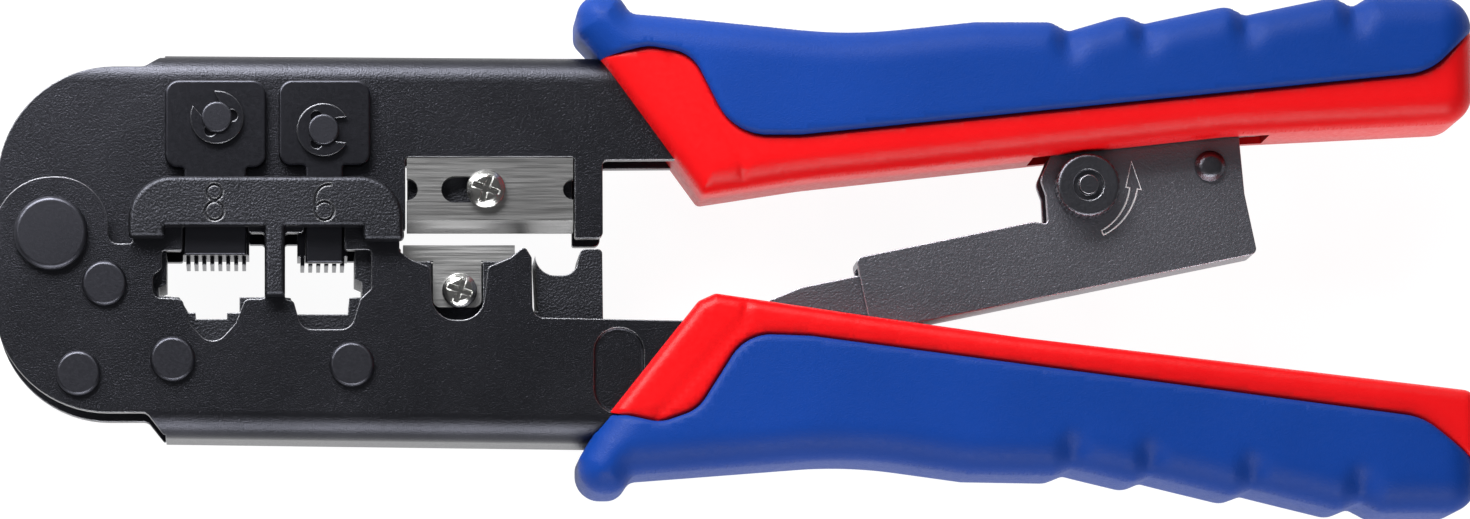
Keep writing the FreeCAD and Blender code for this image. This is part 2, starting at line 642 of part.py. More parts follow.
def ratchet_tongue():
    """Toothed bar hinged in the lower handle; it slides inside the strut's housing."""
    body = new_body("ratchet_tongue")
    half_height = 2.7
    reach = 60.0
    eye = 3.0
    drop = dim("tongue_pin_drop")
    corners = [along_strut(-eye, -drop - eye) + (2.5,), along_strut(-eye, half_height - 1.5) + (2.0,),
               along_strut(5.0, half_height) + (5.0,), along_strut(reach, half_height) + (0.6,),
               along_strut(reach, -half_height) + (0.6,), along_strut(7.0, -half_height) + (3.0,),
               along_strut(eye, -drop - eye) + (2.0,)]
    pad(body, outline(corners), "-dims.tongue_half", "2 * dims.tongue_half")
    pocket(body, ring(TONGUE_PIN, dim("strut_pin") + dim("running_gap")), "-dims.tongue_half",
           "2 * dims.tongue_half")
    tooth = 1.6
    curves = []
    for index in range(9):
        start = 36.0 + index * tooth
        curves += outline([along_strut(start, half_height + 0.5), along_strut(start, half_height - 0.9),
                           along_strut(start + 0.3, half_height - 0.9),
                           along_strut(start + tooth - 0.4, half_height + 0.5)])
    pocket(body, curves, "-dims.tongue_half", "2 * dims.tongue_half")


def ratchet_housing():
    """Folded steel housing hinged in the upper handle; it carries the release knob and the pawl."""
    body = new_body("ratchet_housing")
    half_height = 4.9
    left, right = 12.6, 63.6
    foot = [along_strut(left, -half_height) + (0.8,), along_strut(left, half_height) + (0.8,),
            along_strut(36.0, half_height) + (0.4,)]
    tall = [(40.2, 4.2, 0.4), (40.0, 8.0, 1.2), (39.3, 10.0, 1.5), (40.8, 13.4, 1.5), (54.0, 16.0, 3.0),
            (57.6, 21.4, 3.4), (64.6, 21.4, 3.4)]
    end = [along_strut(right, 3.0), along_strut(right, -half_height) + (0.8,)]
    pad(body, outline(foot + tall + end), "-dims.housing_half", "2 * dims.housing_half")
    wall = dim("housing_sheet")
    inner = half_height - wall
    channel = [along_strut(left - 1, -inner), along_strut(left - 1, inner), along_strut(37.5, inner),
               along_strut(38.0, 30.0), (54.0, 60.0), (80.0, 60.0), (80.0, 0.0),
               along_strut(right - wall, -inner)]
    pocket(body, outline(channel), "dims.housing_sheet - dims.housing_half",
           "2 * (dims.housing_half - dims.housing_sheet)")
    pocket(body, ring(HOUSING_PIN, dim("strut_pin") + dim("running_gap")), "-dims.housing_half",
           "2 * dims.housing_half")
    pocket(body, ring(KNOB_AXIS, 1.45), "-dims.housing_half", "2 * dims.housing_half")
    pocket(body, ring(DOMED_RIVET, 1.0), "-dims.housing_half", "2 * dims.housing_half")


def knob():
    """Ribbed release knob and the pawl on its shaft."""
    body = new_body("release_knob")
    face = dim("housing_half") + 0.2
    height = dim("knob_height")
    radius = dim("knob_radius")
    pad(body, ring(KNOB_AXIS, radius), face, height)
    round_edges(body, 0.5, lambda edge, p: abs(p.z - face - height) < 0.01)
    pad(body, ring(KNOB_AXIS, 1.4), "-dims.housing_half", face + dim("housing_half") + 0.5)
    pocket(body, ring(KNOB_AXIS, 2.0) + ring(KNOB_AXIS, 1.25), face + height - 0.6, 1)
    pad(body, ring(KNOB_AXIS, 1.25), face + height - 0.1, 0.5)
    grooves = []
    for index in range(24):
        centre = beside(KNOB_AXIS, index * 15, radius + 0.1, 0)
        grooves += ring(centre, 0.28)
    pocket(body, grooves, face - 0.1, height + 0.3)
    pawl = new_body("pawl")
    nose = beside(KNOB_AXIS, 276, 4.4, 0)
    x, y = KNOB_AXIS
    corners = [beside(nose, 0, -1.0, 0), beside(nose, 0, 0.9, -0.1), (x + 2.6, y + 1.0, 1.5),
               (x, y + 3.4, 1.8), (x - 2.6, y + 1.0, 1.5)]
    pad(pawl, outline(corners), "-dims.pawl_back", "dims.pawl_sheet")
    pocket(pawl, ring(KNOB_AXIS, 1.4), "-dims.pawl_back", "dims.pawl_sheet")


def strut_pins():
    """Hinge pins of the strut with their spacers, and the domed rivet on the housing."""
    shaft = dim("strut_pin")
    lower = dim("lower_half")
    upper = dim("upper_half")
    turned("tongue_pin", TONGUE_PIN, [(0, -lower), (shaft, -lower), (shaft, lower), (0, lower)])
    turned("housing_pin", HOUSING_PIN, [(0, -upper), (shaft, -upper), (shaft, upper), (0, upper)])
    half = dim("housing_half")
    turned("domed_rivet", DOMED_RIVET, [(0, -half - 0.6), (1.6, -half - 0.6), (1.6, -half), (1.0, -half),
                                        (1.0, half), (2.0, half), (2.0, half + 0.4), (1.3, half + 1.1, 0.9),
                                        (0, half + 1.2)])


def springs():
    """Coil round the main rivet that opens the handles, and the pawl's return spring."""
    turned("opening_spring", PIVOT, [(4.9, -3.6), (6.1, -3.6), (6.1, 3.6), (4.9, 3.6)])
    turned("pawl_spring", KNOB_AXIS, [(1.6, 1.2), (2.4, 1.2), (2.4, 2.5), (1.6, 2.5)])


# ---------------------------------------------------------------- build

def check_and_export():
    """Stop on any failed object, then write each node as its own file."""
    document.recompute()
    for item in document.Objects:
        if "Invalid" in item.State or "Error" in item.State:
            raise RuntimeError("%s failed: %s" % (item.Name, item.State))
    os.makedirs("parts", exist_ok=True)
    for node in nodes:
        shape = node.Shape
        if shape.isNull() or not shape.isValid():
            raise RuntimeError(node.Label + " has no valid shape")
        shape.exportStep("parts/%s.step" % node.Label)
        print(node.Label, len(shape.Solids), round(shape.Volume, 1))


lower_arm()
upper_arm()
main_rivet()
pivot_bush()
small_rivets()
head_spacer()
die_block()
guide_bar()
plungers()
upper_blade()
lower_blade()
cable_stop()
upper_grip()
lower_grip()
ratchet_tongue()
ratchet_housing()
knob()
strut_pins()
springs()
check_and_export()
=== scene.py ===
import json
import math
import bmesh
import bpy
import numpy as np
from mathutils import Matrix, Vector
from mathutils.geometry import delaunay_2d_cdt


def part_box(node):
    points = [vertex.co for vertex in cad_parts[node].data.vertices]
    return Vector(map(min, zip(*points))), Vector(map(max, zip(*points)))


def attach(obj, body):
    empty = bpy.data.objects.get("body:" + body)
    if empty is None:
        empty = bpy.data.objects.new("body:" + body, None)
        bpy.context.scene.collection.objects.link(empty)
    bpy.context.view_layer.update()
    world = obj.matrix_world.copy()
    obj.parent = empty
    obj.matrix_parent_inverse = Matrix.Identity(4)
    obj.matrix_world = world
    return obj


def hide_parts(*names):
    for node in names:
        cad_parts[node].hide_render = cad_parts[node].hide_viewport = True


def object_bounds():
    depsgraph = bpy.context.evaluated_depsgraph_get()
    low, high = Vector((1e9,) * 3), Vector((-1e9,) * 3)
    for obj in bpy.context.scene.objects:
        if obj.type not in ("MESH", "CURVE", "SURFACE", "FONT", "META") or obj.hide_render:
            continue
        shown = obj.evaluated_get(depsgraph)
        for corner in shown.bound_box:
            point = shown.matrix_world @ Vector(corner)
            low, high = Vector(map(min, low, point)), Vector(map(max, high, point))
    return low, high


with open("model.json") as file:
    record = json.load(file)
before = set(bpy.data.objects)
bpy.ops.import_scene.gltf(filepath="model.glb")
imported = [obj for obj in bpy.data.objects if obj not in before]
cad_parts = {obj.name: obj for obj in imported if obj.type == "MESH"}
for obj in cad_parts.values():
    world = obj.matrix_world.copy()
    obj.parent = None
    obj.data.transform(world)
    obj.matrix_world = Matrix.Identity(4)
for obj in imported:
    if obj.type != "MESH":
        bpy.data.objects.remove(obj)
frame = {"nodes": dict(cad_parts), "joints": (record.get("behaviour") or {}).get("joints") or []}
cad_low, cad_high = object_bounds()

MM = 0.001
EDGE_RADIUS = 0.25 * MM
CAD_SHARP, GRIP_SHARP = math.radians(26), math.radians(50)
MID = (cad_low.z + cad_high.z) / 2
HALF = (cad_high.z - cad_low.z) / 2


def joint(name):
    """The record's joint of that name."""
    return next(j for j in frame["joints"] if j["name"] == name)


# ---------------------------------------------------------------- materials

def new_material(name):
    """Node material with its principled shader."""
    material = bpy.data.materials.new(name)
    material.use_nodes = True
    shader = material.node_tree.nodes["Principled BSDF"]
    return material, material.node_tree, shader


def node(tree, kind, **values):
    """Node with its input sockets set by name."""
    made = tree.nodes.new(kind)
    for key, value in values.items():
        made.inputs[key.replace("_", " ")].default_value = value
    return made


def position(tree):
    """Object-space coordinates in metres."""
    return tree.nodes.new("ShaderNodeTexCoord").outputs["Object"]


def noise(tree, scale, detail=3.0, stretch=None):
    """Noise factor at a scale in cells per metre, stretched along the axes if asked."""
    texture = node(tree, "ShaderNodeTexNoise", Scale=scale, Detail=detail)
    source = position(tree)
    if stretch is not None:
        mapping = node(tree, "ShaderNodeMapping", Scale=stretch)
        tree.links.new(source, mapping.inputs["Vector"])
        source = mapping.outputs["Vector"]
    tree.links.new(source, texture.inputs["Vector"])
    return texture.outputs["Fac"]


def ramp(tree, factor, stops):
    """Colour ramp over a factor, from (place, colour) stops."""
    made = tree.nodes.new("ShaderNodeValToRGB")
    elements = made.color_ramp.elements
    while len(elements) < len(stops):
        elements.new(0.5)
    for element, (place, colour) in zip(elements, stops):
        element.position = place
        element.color = (*colour, 1)
    tree.links.new(factor, made.inputs["Fac"])
    return made.outputs["Color"]


def spread(tree, factor, low, high):
    """A factor from 0.3 to 0.7 mapped to a range."""
    made = node(tree, "ShaderNodeMapRange")
    made.inputs["From Min"].default_value = 0.3
    made.inputs["From Max"].default_value = 0.7
    made.inputs["To Min"].default_value = low
    made.inputs["To Max"].default_value = high
    tree.links.new(factor, made.inputs["Value"])
    return made.outputs["Result"]


def bump(tree, shader, factor, height):
    """Bump of a height in metres, on top of the shader's last normal."""
    made = node(tree, "ShaderNodeBump", Distance=height)
    tree.links.new(factor, made.inputs["Height"])
    last = shader.inputs["Normal"]
    if last.links:
        tree.links.new(last.links[0].from_socket, made.inputs["Normal"])
    tree.links.new(made.outputs["Normal"], last)


def rounded_edges(tree, shader, radius):
    """Normals of edges rounded to a radius in metres."""
    rounded = node(tree, "ShaderNodeBevel", Radius=radius)
    rounded.samples = 6
    tree.links.new(rounded.outputs["Normal"], shader.inputs["Normal"])
    return rounded.outputs["Normal"]


def edge_wear_and_highlight(tree, rounded, colour, worn_and_highlight_tone, amount):
    """Mixes a brighter colour in where the rounded normal leaves the face's own: edge wear, and a painted
    edge highlight.
    """
    # Edges whose rounded normal turns away get the lighter tone, wear and painted highlight together.
    plain_face_from, full_edge_below = 0.99, 0.85
    geometry = tree.nodes.new("ShaderNodeNewGeometry")
    agreement = tree.nodes.new("ShaderNodeVectorMath")
    agreement.operation = "DOT_PRODUCT"
    tree.links.new(rounded, agreement.inputs[0])
    tree.links.new(geometry.outputs["Normal"], agreement.inputs[1])
    mask = node(tree, "ShaderNodeMapRange")
    mask.inputs["From Min"].default_value = plain_face_from
    mask.inputs["From Max"].default_value = full_edge_below
    mask.inputs["To Max"].default_value = amount
    tree.links.new(agreement.outputs["Value"], mask.inputs["Value"])
    mix = tree.nodes.new("ShaderNodeMix")
    mix.data_type = "RGBA"
    tree.links.new(mask.outputs["Result"], mix.inputs["Factor"])
    tree.links.new(colour, mix.inputs["A"])
    mix.inputs["B"].default_value = (*worn_and_highlight_tone, 1)
    return mix.outputs["Result"]


def steel(name, dark, light, rough, grain, grain_height, wear_and_highlight=0.9):
    """Blackened or bare steel with fine grain, cloudy tone and slightly rounded edges, worn and lightened
    with a painted edge highlight.
    """
    cloud_scale, cloud_detail, polish_scale, grain_detail = 90.0, 4.0, 2600.0, 4.0
    material, tree, shader = new_material(name)
    colour = ramp(tree, noise(tree, cloud_scale, cloud_detail), [(0.35, dark), (0.7, light)])
    # Lighter edge tone: partly edge wear, partly a painted highlight along the edges.
    worn_and_highlight_tone = tuple(min(1.0, c * 2 + 0.2) for c in light)
    rounded = rounded_edges(tree, shader, EDGE_RADIUS)
    tree.links.new(edge_wear_and_highlight(tree, rounded, colour, worn_and_highlight_tone, wear_and_highlight), shader.inputs["Base Color"])
    polish = spread(tree, noise(tree, polish_scale), rough - 0.02, rough + 0.03)
    tree.links.new(polish, shader.inputs["Roughness"])
    shader.inputs["Metallic"].default_value = 1.0
    bump(tree, shader, noise(tree, grain, grain_detail), grain_height)
    return material


def ground_steel(name, tone, rough):
    """Ground blade steel with fine lines along its length."""
    line_scale, line_detail, along_blade, line_height = 5200.0, 2.0, (0.03, 1.0, 1.0), 0.00001
    material, tree, shader = new_material(name)
    lines = noise(tree, line_scale, line_detail, along_blade)
    colour = ramp(tree, lines, [(0.3, tuple(c * 0.85 for c in tone)), (0.7, tone)])
    tree.links.new(colour, shader.inputs["Base Color"])
    tree.links.new(spread(tree, lines, rough - 0.05, rough + 0.1), shader.inputs["Roughness"])
    shader.inputs["Metallic"].default_value = 1.0
    bump(tree, shader, lines, line_height)
    return material


def moulded(name, dark, light, rough, grain, grain_height, shine=0.2):
    """Moulded plastic or soft rubber with a fine skin texture."""
    cloud_scale, polish_scale = 60.0, 1500.0
    material, tree, shader = new_material(name)
    colour = ramp(tree, noise(tree, cloud_scale), [(0.3, dark), (0.7, light)])
    tree.links.new(colour, shader.inputs["Base Color"])
    polish = spread(tree, noise(tree, polish_scale), rough - 0.04, rough + 0.06)
    tree.links.new(polish, shader.inputs["Roughness"])
    shader.inputs["Specular IOR Level"].default_value = shine
    bump(tree, shader, noise(tree, grain), grain_height)
    return material


def floor_material():
    """Pale, evenly lit table."""
    cloud_scale = 25.0
    material, tree, shader = new_material("pale_table")
    tone = ramp(tree, noise(tree, cloud_scale), [(0.3, (0.96, 0.96, 0.965)), (0.7, (1.0, 1.0, 1.0))])
    tree.links.new(tone, shader.inputs["Emission Color"])
    shader.inputs["Base Color"].default_value = (0.12, 0.12, 0.12, 1)
    shader.inputs["Specular IOR Level"].default_value = 0.0
    shader.inputs["Emission Strength"].default_value = 0.98
    shader.inputs["Roughness"].default_value = 0.9
    return material


# Dark and light tone, roughness, grain in cells per metre and grain height in metres,
# then a steel's edge wear and painted edge highlight, or a moulding's shine. A ground blade has one tone and
# a roughness.
MATERIALS = {
    "arm": steel("blackened_arm", (0.04, 0.041, 0.049), (0.05, 0.051, 0.061), 0.32, 5200.0, 0.00006),
    "cast": steel("grained_cast", (0.036, 0.037, 0.043), (0.05, 0.051, 0.06), 0.4, 3600.0, 0.0001),
    "smooth": steel("smooth_black", (0.05, 0.051, 0.062), (0.056, 0.057, 0.069), 0.31, 4000.0, 0.00001),
    "rivet": steel("rivet_black", (0.06, 0.061, 0.074), (0.068, 0.069, 0.083), 0.37, 4000.0, 0.00001),
    "strut": steel("strut_steel", (0.2, 0.201, 0.232), (0.225, 0.226, 0.26), 0.38, 4200.0, 0.00006),
    "knob": steel("knob_black", (0.1, 0.101, 0.118), (0.12, 0.121, 0.14), 0.34, 4200.0, 0.00003),
    "bare": steel("bare_steel", (0.16, 0.16, 0.17), (0.3, 0.3, 0.31), 0.35, 3500.0, 0.00002, 0.3),
    "zinc": steel("bright_zinc", (0.42, 0.42, 0.41), (0.58, 0.58, 0.56), 0.22, 3000.0, 0.00001, 0.2),
    "blade": ground_steel("ground_blade", (0.25, 0.25, 0.25), 0.42),
    "bright": ground_steel("bright_blade", (0.62, 0.62, 0.62), 0.34),
    "red": moulded("red_shell", (0.6, 0.004, 0.006), (0.64, 0.006, 0.008), 0.36, 3500.0, 0.00002, 0.16),
    "blue": moulded("blue_pad", (0.0012, 0.031, 0.205), (0.002, 0.035, 0.23), 0.5, 5200.0, 0.00005, 0.15),
    "paint": moulded("pale_marking", (0.5, 0.5, 0.52), (0.66, 0.66, 0.68), 0.6, 5000.0, 0.00001),
}

NODE_MATERIALS = {
    "arm": ["lower_arm", "upper_arm"],
    "cast": ["guide_bar", "die_block", "cable_stop", "blade_carrier"],
    "smooth": ["plunger_plate_8way", "plunger_plate_6way", "crimp_comb_8way", "crimp_comb_6way",
               "retaining_ring_8way", "retaining_ring_6way"],
    "rivet": ["main_rivet", "die_rivets", "plunger_pin_8way", "plunger_pin_6way"],
    "strut": ["ratchet_housing", "ratchet_tongue"],
    "knob": ["release_knob", "domed_rivet"],
    "bare": ["pivot_bush", "head_spacer", "tongue_pin", "housing_pin", "pawl"],
    "zinc": ["upper_blade_screw", "lower_blade_screw"],
    "blade": ["upper_blade"],
    "bright": ["lower_blade"],
}


def dress_cad_nodes():
    """New materials and smooth shading on the CAD pieces that stay in view."""
    for key, names in NODE_MATERIALS.items():
        for name in names:
            piece = frame["nodes"][name]
            piece.data.materials.clear()
            piece.data.materials.append(MATERIALS[key])
            piece.data.shade_smooth()
            piece.data.set_sharp_from_angle(angle=CAD_SHARP)


def finish_piece(piece, key, body):
    """Material and body of a piece made here."""
    piece.data.materials.clear()
    piece.data.materials.append(MATERIALS[key])
    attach(piece, body)
    return piece


def mesh_piece(name, mesh):
    """Object for a mesh, linked to the scene."""
    piece = bpy.data.objects.new(name, mesh)
    bpy.context.scene.collection.objects.link(piece)
    return piece


# ---------------------------------------------------------------- outlines

def outline(corners, step=0.35):
    """Points in millimetres along a closed outline of (x, y, radius) corners."""
    count = len(corners)
    places = [Vector(c[:2]) for c in corners]
    points = []
    for i, corner in enumerate(places):
        radius = corners[i][2] if len(corners[i]) > 2 else 0.0
        to_last = (places[i - 1] - corner).normalized()
        to_next = (places[(i + 1) % count] - corner).normalized()
        angle = to_last.angle(to_next)
        if radius == 0 or abs(angle - math.pi) < 0.01:
            points.append(corner.copy())
            continue
        reach = radius / math.tan(angle / 2)
        centre = corner + (to_last + to_next).normalized() * (radius / math.sin(angle / 2))
        first = corner + to_last * reach - centre
        turn = first.angle_signed(corner + to_next * reach - centre)
        pieces = max(3, int(abs(turn) * radius / step))
        for k in range(pieces + 1):
            points.append(centre + Matrix.Rotation(-turn * k / pieces, 2) @ first)
    return points


def resample(points, step, closed=True):
    """The same outline with no run longer than step."""
    result = []
    count = len(points)
    for i in range(count if closed else count - 1):
        start, end = points[i], points[(i + 1) % count]
        pieces = max(1, int((end - start).length / step))
        result += [start.lerp(end, k / pieces) for k in range(pieces)]
    if not closed:
        result.append(points[-1])
    return result


def distances(places, line, closed=True):
    """Distance from each place to a polyline, as an array."""
    start = np.array([tuple(p) for p in line])
    end = np.roll(start, -1, axis=0)
    if not closed:
        start, end = start[:-1], end[:-1]
    run = end - start
    length = np.maximum((run ** 2).sum(1), 1e-9)
    best = np.full(len(places), 1e9)
    for a, r, n in zip(start, run, length):
        along = np.clip(((places - a) @ r) / n, 0, 1)
        best = np.minimum(best, np.hypot(*(places - a - along[:, None] * r).T))
    return best


def inside(places, line):
    """True for each place inside a closed polyline."""
    x, y = places[:, 0], places[:, 1]
    result = np.zeros(len(places), bool)
    for (x1, y1), (x2, y2) in zip(line, line[1:] + line[:1]):
        if y1 == y2:
            continue
        crosses = (y1 > y) != (y2 > y)
        result ^= crosses & (x < (x2 - x1) * (y - y1) / (y2 - y1) + x1)
    return result


# ---------------------------------------------------------------- grips

# Places in millimetres; a third value is the radius of the corner.
# LINE is the seam between red and blue, and RED and BLUE are the outer edges of each.
# CREASE is the fold across the red shell near the head, and HOLLOWS are the finger hollows' x.
UPPER_LINE = [(-11.5, 26.6, 5.0), (-5.9, 25.6, 5.0), (-0.6, 15.1, 7.0), (8.0, 15.1, 7.0),
              (89.2, 23.3, 8.0), (95.1, 29.0)]
LOWER_LINE = [(-10.2, -22.0, 5.0), (-5.4, -20.3, 5.0), (0.8, -10.6, 6.0), (9.0, -10.9, 8.0),
              (87.6, -21.4, 8.0), (95.1, -27.5)]
UPPER_RED = [(-17.4, 25.2), (-5.6, 8.9, 1.2), (-4.6, 7.5, 0.8), (8.4, 9.5, 60.0), (63.2, 15.4),
             (95.1, 17.0, 4.0)]
LOWER_RED = [(-16.6, -20.5), (-5.2, -6.2, 1.0), (-3.0, -5.2, 1.0), (16.4, -8.1, 60.0), (36.2, -10.9),
             (95.1, -17.9, 2.2)]
UPPER_BLUE = [(95.1, 33.5, 4.4), (82.0, 33.5, 3.0), (79.7, 32.1, 1.2), (77.2, 33.4, 3.0),
              (65.7, 31.0, 1.2), (63.4, 32.2, 3.0), (52.6, 29.9, 1.2), (50.0, 31.0, 3.0), (42.8, 28.9, 1.2),
              (40.5, 30.1, 3.0), (30.8, 30.1), (14.5, 28.4, 60.0), (-8.8, 30.7), (-13.6, 31.1, 1.5),
              (-15.2, 33.5, 2.2), (-20.6, 33.5, 3.0), (-20.6, 28.6, 2.0)]
LOWER_BLUE = [(95.1, -33.5, 4.4), (82.4, -33.5, 3.0), (79.7, -32.1, 1.2),
              (77.0, -33.2, 3.0), (65.7, -30.4, 1.2), (63.2, -31.3, 3.0), (52.6, -28.7, 1.2),
              (50.4, -29.6, 3.0), (42.6, -27.7, 1.2), (40.3, -28.6, 3.0), (29.5, -28.4), (14.5, -26.3, 60.0),
              (-6.8, -27.9), (-13.6, -28.4, 1.5), (-15.2, -30.8, 2.6), (-20.6, -30.8, 3.2),
              (-20.6, -26.4, 2.0), (-18.7, -23.2, 1.0)]
UPPER_CREASE = [Vector((-8.8, 25.0)), Vector((-4.0, 19.0)), Vector((0.3, 12.8)), Vector((0.6, 9.5))]
LOWER_CREASE = [Vector((-10.6, -21.0)), Vector((-4.6, -14.4)), Vector((0.5, -8.8)), Vector((1.0, -6.6))]
PAD_FACE, SHELL_FACE = HALF / MM - 0.15, HALF / MM - 1.15
PAD_ROUNDING = 4.6
SHELL_ROUNDING = {"upper": 3.6, "lower": 1.8}
SEAM_DEPTH, SEAM_WIDTH = 0.45, 0.28
CREASE_DEPTH, CREASE_WIDTH = 0.3, 0.5
HOLLOWS = (42.7, 52.6, 65.7, 79.7)
HOLLOW_DEPTH, HOLLOW_WIDTH, HOLLOW_INSET, HOLLOW_STRETCH = 1.0, 1.5, 2.4, 0.8

# Spacing of the skin's points and their clearance from its border, in millimetres.
BORDER_STEP, GRID_STEP, GRID_CLEAR, RING_CLEAR = 0.5, 0.75, 0.45, 0.1
ROUNDING_RINGS = (0.12, 0.35, 0.8, 1.5, 2.4)
SEAM_ROWS = (-0.5, -0.25, 0.25, 0.5)


def relief(places, whole, seam, crease, side, hollows, height, radius):
    """Height of a grip's face above the middle plane, in millimetres."""
    depth = np.minimum(distances(places, whole), radius)
    rounding = radius - np.sqrt(np.maximum(radius ** 2 - (radius - depth) ** 2, 0))
    face = height - rounding
    face -= SEAM_DEPTH * np.exp(-(distances(places, seam, False) / SEAM_WIDTH) ** 2)
    face -= CREASE_DEPTH * np.exp(-(distances(places, crease, False) / CREASE_WIDTH) ** 2)
    for x, y in hollows:
        gap = np.hypot(places[:, 0] - x, (places[:, 1] - y + side * HOLLOW_INSET) * HOLLOW_STRETCH)
        face -= HOLLOW_DEPTH * np.exp(-(gap / HOLLOW_WIDTH) ** 2)
    return face


def skin_places(border, whole, seam):
    """Points inside a border: an even grid, rings along the rounding and rows along the seam."""
    corners = [tuple(p) for p in border]
    low, high = np.min(corners, axis=0), np.max(corners, axis=0)
    columns, lines = (np.arange(low[i], high[i], GRID_STEP) for i in (0, 1))
    grid = np.stack(np.meshgrid(columns, lines), -1).reshape(-1, 2)
    sets = [(grid, GRID_CLEAR)]
    sets += [(inset_ring(whole, inset), RING_CLEAR) for inset in ROUNDING_RINGS]
    sets += [(offset_line(seam, shift), RING_CLEAR) for shift in SEAM_ROWS]
    kept = []
    for places, clear in sets:
        places = places[inside(places, corners)]
        kept.append(places[distances(places, border) > clear])
    return [Vector(p) for p in np.concatenate(kept)]


def grip_mesh(name, border, whole, seam, crease, side, hollows, height, radius):
    """Closed mesh of one grip piece: two relief faces joined by a wall along its border."""
    merge_within = 0.02
    border = resample(border, BORDER_STEP)
    count = len(border)
    edges = [(i, (i + 1) % count) for i in range(count)]
    result = delaunay_2d_cdt(border + skin_places(border, whole, seam), edges, [], 1, merge_within)
    flat, faces = np.array([tuple(v) for v in result[0]]), result[2]
    top = relief(flat, whole, seam, crease, side, hollows, height, radius)
    mesh = bpy.data.meshes.new(name)
    verts = [(x * MM, y * MM, MID + z * MM) for (x, y), z in zip(flat, top)]
    verts += [(x * MM, y * MM, MID - z * MM) for (x, y), z in zip(flat, top)]
    total = len(flat)
    polygons = [tuple(f) for f in faces] + [tuple(i + total for i in reversed(f)) for f in faces]
    sides = [pair for f in faces for pair in zip(f, f[1:] + f[:1])]
    known = set(sides)
    polygons += [(b, a, a + total, b + total) for a, b in sides if (b, a) not in known]
    mesh.from_pydata(verts, [], polygons)
    mesh.validate()
    work = bmesh.new()
    work.from_mesh(mesh)
    bmesh.ops.recalc_face_normals(work, faces=work.faces)
    work.to_mesh(mesh)
    work.free()
    return mesh


def offset_line(line, shift):
    """Points beside a polyline, at a signed distance."""
    line = resample(line, BORDER_STEP, False)
    places = []
    for a, b in zip(line, line[1:]):
        run = (b - a).normalized()
        places.append(tuple((a + b) / 2 + Vector((-run.y, run.x)) * shift))
    return np.array(places)


def inset_ring(line, inset):
    """Points at a distance inside a closed outline, leaving out those that come too close to it."""
    step, nearest = 0.6, 0.93 * inset
    line = resample(line, step)
    closed = line + line[:1]
    places = []
    for a, b in zip(closed, closed[1:]):
        run = (b - a).normalized()
        for turn in (-1, 1):
            places.append(tuple((a + b) / 2 + Vector((-run.y, run.x)) * inset * turn))
    places = np.array(places)
    keep = inside(places, [tuple(p) for p in line]) & (distances(places, line) > nearest)
    return places[keep]


def cut_slot(piece, low, high):
    """Cuts the strut's slot, a box from low to high in millimetres."""
    mesh = bpy.data.meshes.new(piece.name + "_slot")
    work = bmesh.new()
    bmesh.ops.create_cube(work, size=1.0)
    size = [(h - l) * MM for l, h in zip(low, high)]
    centre = [(h + l) / 2 * MM for l, h in zip(low, high)]
    box = Matrix.Translation(centre) @ Matrix.Diagonal((*size, 1))
    bmesh.ops.transform(work, matrix=box, verts=work.verts)
    work.to_mesh(mesh)
    work.free()
    cutter = mesh_piece(piece.name + "_slot", mesh)
    change = piece.modifiers.new("slot", "BOOLEAN")
    change.object = cutter
    change.solver = "EXACT"
    bpy.context.view_layer.update()
    shape = piece.evaluated_get(bpy.context.evaluated_depsgraph_get())
    piece.data = bpy.data.meshes.new_from_object(shape)
    piece.modifiers.clear()
    bpy.data.objects.remove(cutter)


def grip(side, line, red, blue, crease, shell_slot, pad_slot):
    """Red shell and blue pad of one grip; the pad's slot runs on into the steel channel behind it."""
    sign = 1 if side == "upper" else -1
    seam = outline([red[0]] + line)
    red_border = outline(red + line[::-1])
    blue_border = outline([red[0]] + line + blue)
    whole = outline(red + blue)
    edge = outline(blue)
    hollows = [(x, min(edge, key=lambda p: abs(p.x - x)).y) for x in HOLLOWS]
    body = side + "_arm"
    shell = ("shell", red_border, SHELL_FACE, SHELL_ROUNDING[side], "red", "red_plastic", shell_slot)
    pad = ("pad", blue_border, PAD_FACE, PAD_ROUNDING, "blue", "blue_rubber", pad_slot)
    for part, border, height, radius, key, slot, opening in (shell, pad):
        name = side + "_grip_" + part
        mesh = grip_mesh(name + "_skin", border, whole, seam, crease, sign, hollows, height, radius)
        piece = mesh_piece(name + "_skin", mesh)
        cut_slot(piece, *opening)
        piece.data.shade_smooth()
        piece.data.set_sharp_from_angle(angle=GRIP_SHARP)
        finish_piece(piece, key, body)
        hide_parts(name)


def slot_box(x_low, x_high, y_low, y_high, half):
    """Lowest and highest corner of a slot, in millimetres."""
    middle = MID / MM
    return (x_low, y_low, middle - half), (x_high, y_high, middle + half)


def grips():
    """Both grips, with slots for the strut: a narrow one in the shell, the steel channel's own in the pad."""
    shell_half, upper_pad_half, lower_pad_half = 4.6, 5.1, 7.1
    upper_ends, lower_ends = (38.3, 69.0), (-1.0, 27.0)
    grip("upper", UPPER_LINE, UPPER_RED, UPPER_BLUE, UPPER_CREASE,
         slot_box(*upper_ends, 5.0, 24.0, shell_half), slot_box(*upper_ends, 5.0, 24.4, upper_pad_half))
    grip("lower", LOWER_LINE, LOWER_RED, LOWER_BLUE, LOWER_CREASE,
         slot_box(*lower_ends, -17.0, 0.0, shell_half), slot_box(*lower_ends, -24.6, 0.0, lower_pad_half))


# ---------------------------------------------------------------- springs and markings

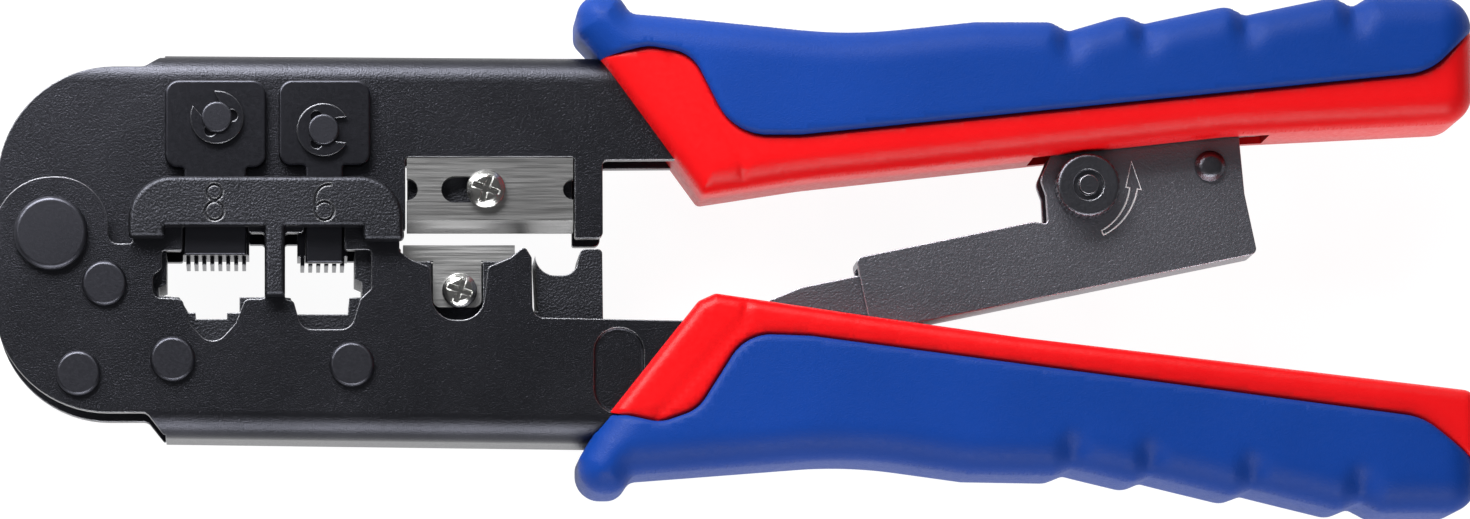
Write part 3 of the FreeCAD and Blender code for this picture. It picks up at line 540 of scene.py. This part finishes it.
def coil(name, node_name, turns, wire, body):
    """Wire coil that stands for a CAD spring, inside that node's box."""
    low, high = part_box(node_name)
    centre = (low + high) / 2
    radius = (high.x - low.x) / 2 - wire
    steps_per_turn = 24
    steps = steps_per_turn * turns
    curve = bpy.data.curves.new(name, "CURVE")
    curve.dimensions = "3D"
    spline = curve.splines.new("POLY")
    spline.points.add(steps)
    for k in range(steps + 1):
        angle = 2 * math.pi * k / steps_per_turn
        height = low.z + wire + (high.z - low.z - 2 * wire) * k / steps
        place = (centre.x + radius * math.cos(angle), centre.y + radius * math.sin(angle), height, 1)
        spline.points[k].co = place
    curve.bevel_depth = wire
    curve.bevel_resolution = 3
    curve.use_fill_caps = True
    piece = mesh_piece(name, curve)
    finish_piece(piece, "bare", body)
    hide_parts(node_name)


def release_arrow():
    """Thin outlined arrow on the housing's face that curves round the knob."""
    pin = Vector(joint("release_knob_turn")["pos_m"])
    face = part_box("ratchet_housing")[1].z
    left, up = 1.65 * MM, 1.15 * MM
    centre = Vector((pin.x - left, pin.y + up))
    radius, line = 7.9 * MM, 0.12 * MM
    tail_width, neck_width, head_width = 0.3 * MM, 0.5 * MM, 1.0 * MM
    tail, neck, tip = math.radians(-62), math.radians(-9), math.radians(17)
    steps = 24
    angles = [tail + (neck - tail) * k / steps for k in range(steps + 1)]
    widths = [tail_width + (neck_width - tail_width) * k / steps for k in range(steps + 1)]
    border = [(angle, radius - width) for angle, width in zip(angles, widths)]
    border += [(neck, radius - head_width), (tip, radius), (neck, radius + head_width)]
    border += [(angle, radius + width) for angle, width in zip(angles[::-1], widths[::-1])]
    curve = bpy.data.curves.new("release_arrow", "CURVE")
    curve.dimensions = "3D"
    spline = curve.splines.new("POLY")
    spline.points.add(len(border) - 1)
    spline.use_cyclic_u = True
    for point, (angle, reach) in zip(spline.points, border):
        point.co = (centre.x + reach * math.cos(angle), centre.y + reach * math.sin(angle), face, 1)
    curve.bevel_depth = line
    curve.bevel_resolution = 1
    piece = mesh_piece("release_arrow", curve)
    finish_piece(piece, "paint", "ratchet_housing")


# ---------------------------------------------------------------- stage

def area_light(name, place, target, size, power):
    """Rectangular soft light that points at target."""
    lamp = bpy.data.lights.new(name, "AREA")
    lamp.shape = "RECTANGLE"
    lamp.size, lamp.size_y = size
    lamp.energy = power
    light = bpy.data.objects.new(name, lamp)
    light.location = place
    light.visible_camera = False
    light.rotation_euler = (Vector(target) - Vector(place)).to_track_quat("-Z", "Y").to_euler()
    bpy.context.scene.collection.objects.link(light)


def stage():
    """Pale floor and studio light."""
    floor_size, floor_gap, world_strength = 6.0, 0.2 * MM, 0.12
    bpy.ops.mesh.primitive_plane_add(size=floor_size, location=(0, 0, cad_low.z - floor_gap))
    floor = bpy.context.object
    floor.name = "floor"
    floor.data.materials.append(floor_material())
    world = bpy.data.worlds.new("studio")
    world.use_nodes = True
    background = world.node_tree.nodes["Background"]
    background.inputs["Color"].default_value = (1, 1, 1, 1)
    background.inputs["Strength"].default_value = world_strength
    bpy.context.scene.world = world
    area_light("key", (-0.15, 0.65, 0.52), (0, 0, 0.01), (0.5, 0.3), 6.0)
    area_light("fill", (0.1, -0.6, 0.5), (0, 0, 0.01), (0.5, 0.3), 2.4)
    area_light("upper_soft", (-0.165, 0.172, 0.15), (-0.115, 0.03, 0.01), (0.2, 0.16), 1.2)
    area_light("top_rim", (0.0, 0.55, 0.2), (0, 0.02, 0.012), (0.8, 0.1), 0.5)
    area_light("lower_rim", (0.0, -0.6, 0.26), (0, -0.02, 0.012), (0.8, 0.08), 2.8)
    bpy.context.scene.view_settings.view_transform = "Standard"


def camera():
    """Long lens nearly straight above, leaning a little to the hinge and to the lower handle."""
    width = 189.7 * MM
    lens, sensor = 200.0, 36.0
    reach = width * lens / sensor
    back = Vector((-0.058, -0.105, 0.993)).normalized()
    across = (Vector((1, 0, 0)) - back * back.x).normalized()
    upward = back.cross(across)
    data = bpy.data.cameras.new("camera")
    data.lens, data.sensor_width = lens, sensor
    data.clip_start, data.clip_end = 0.05, 20
    eye = bpy.data.objects.new("camera", data)
    eye.matrix_world = Matrix.Translation(Vector((0, 0, MID)) + back * reach) @ Matrix(
        (across, upward, back)).transposed().to_4x4()
    bpy.context.scene.collection.objects.link(eye)
    bpy.context.scene.camera = eye


dress_cad_nodes()
grips()
coil("opening_coil", "opening_spring", 7, 0.45 * MM, "upper_arm")
coil("pawl_coil", "pawl_spring", 3, 0.18 * MM, "ratchet_housing")
release_arrow()
stage()
camera()
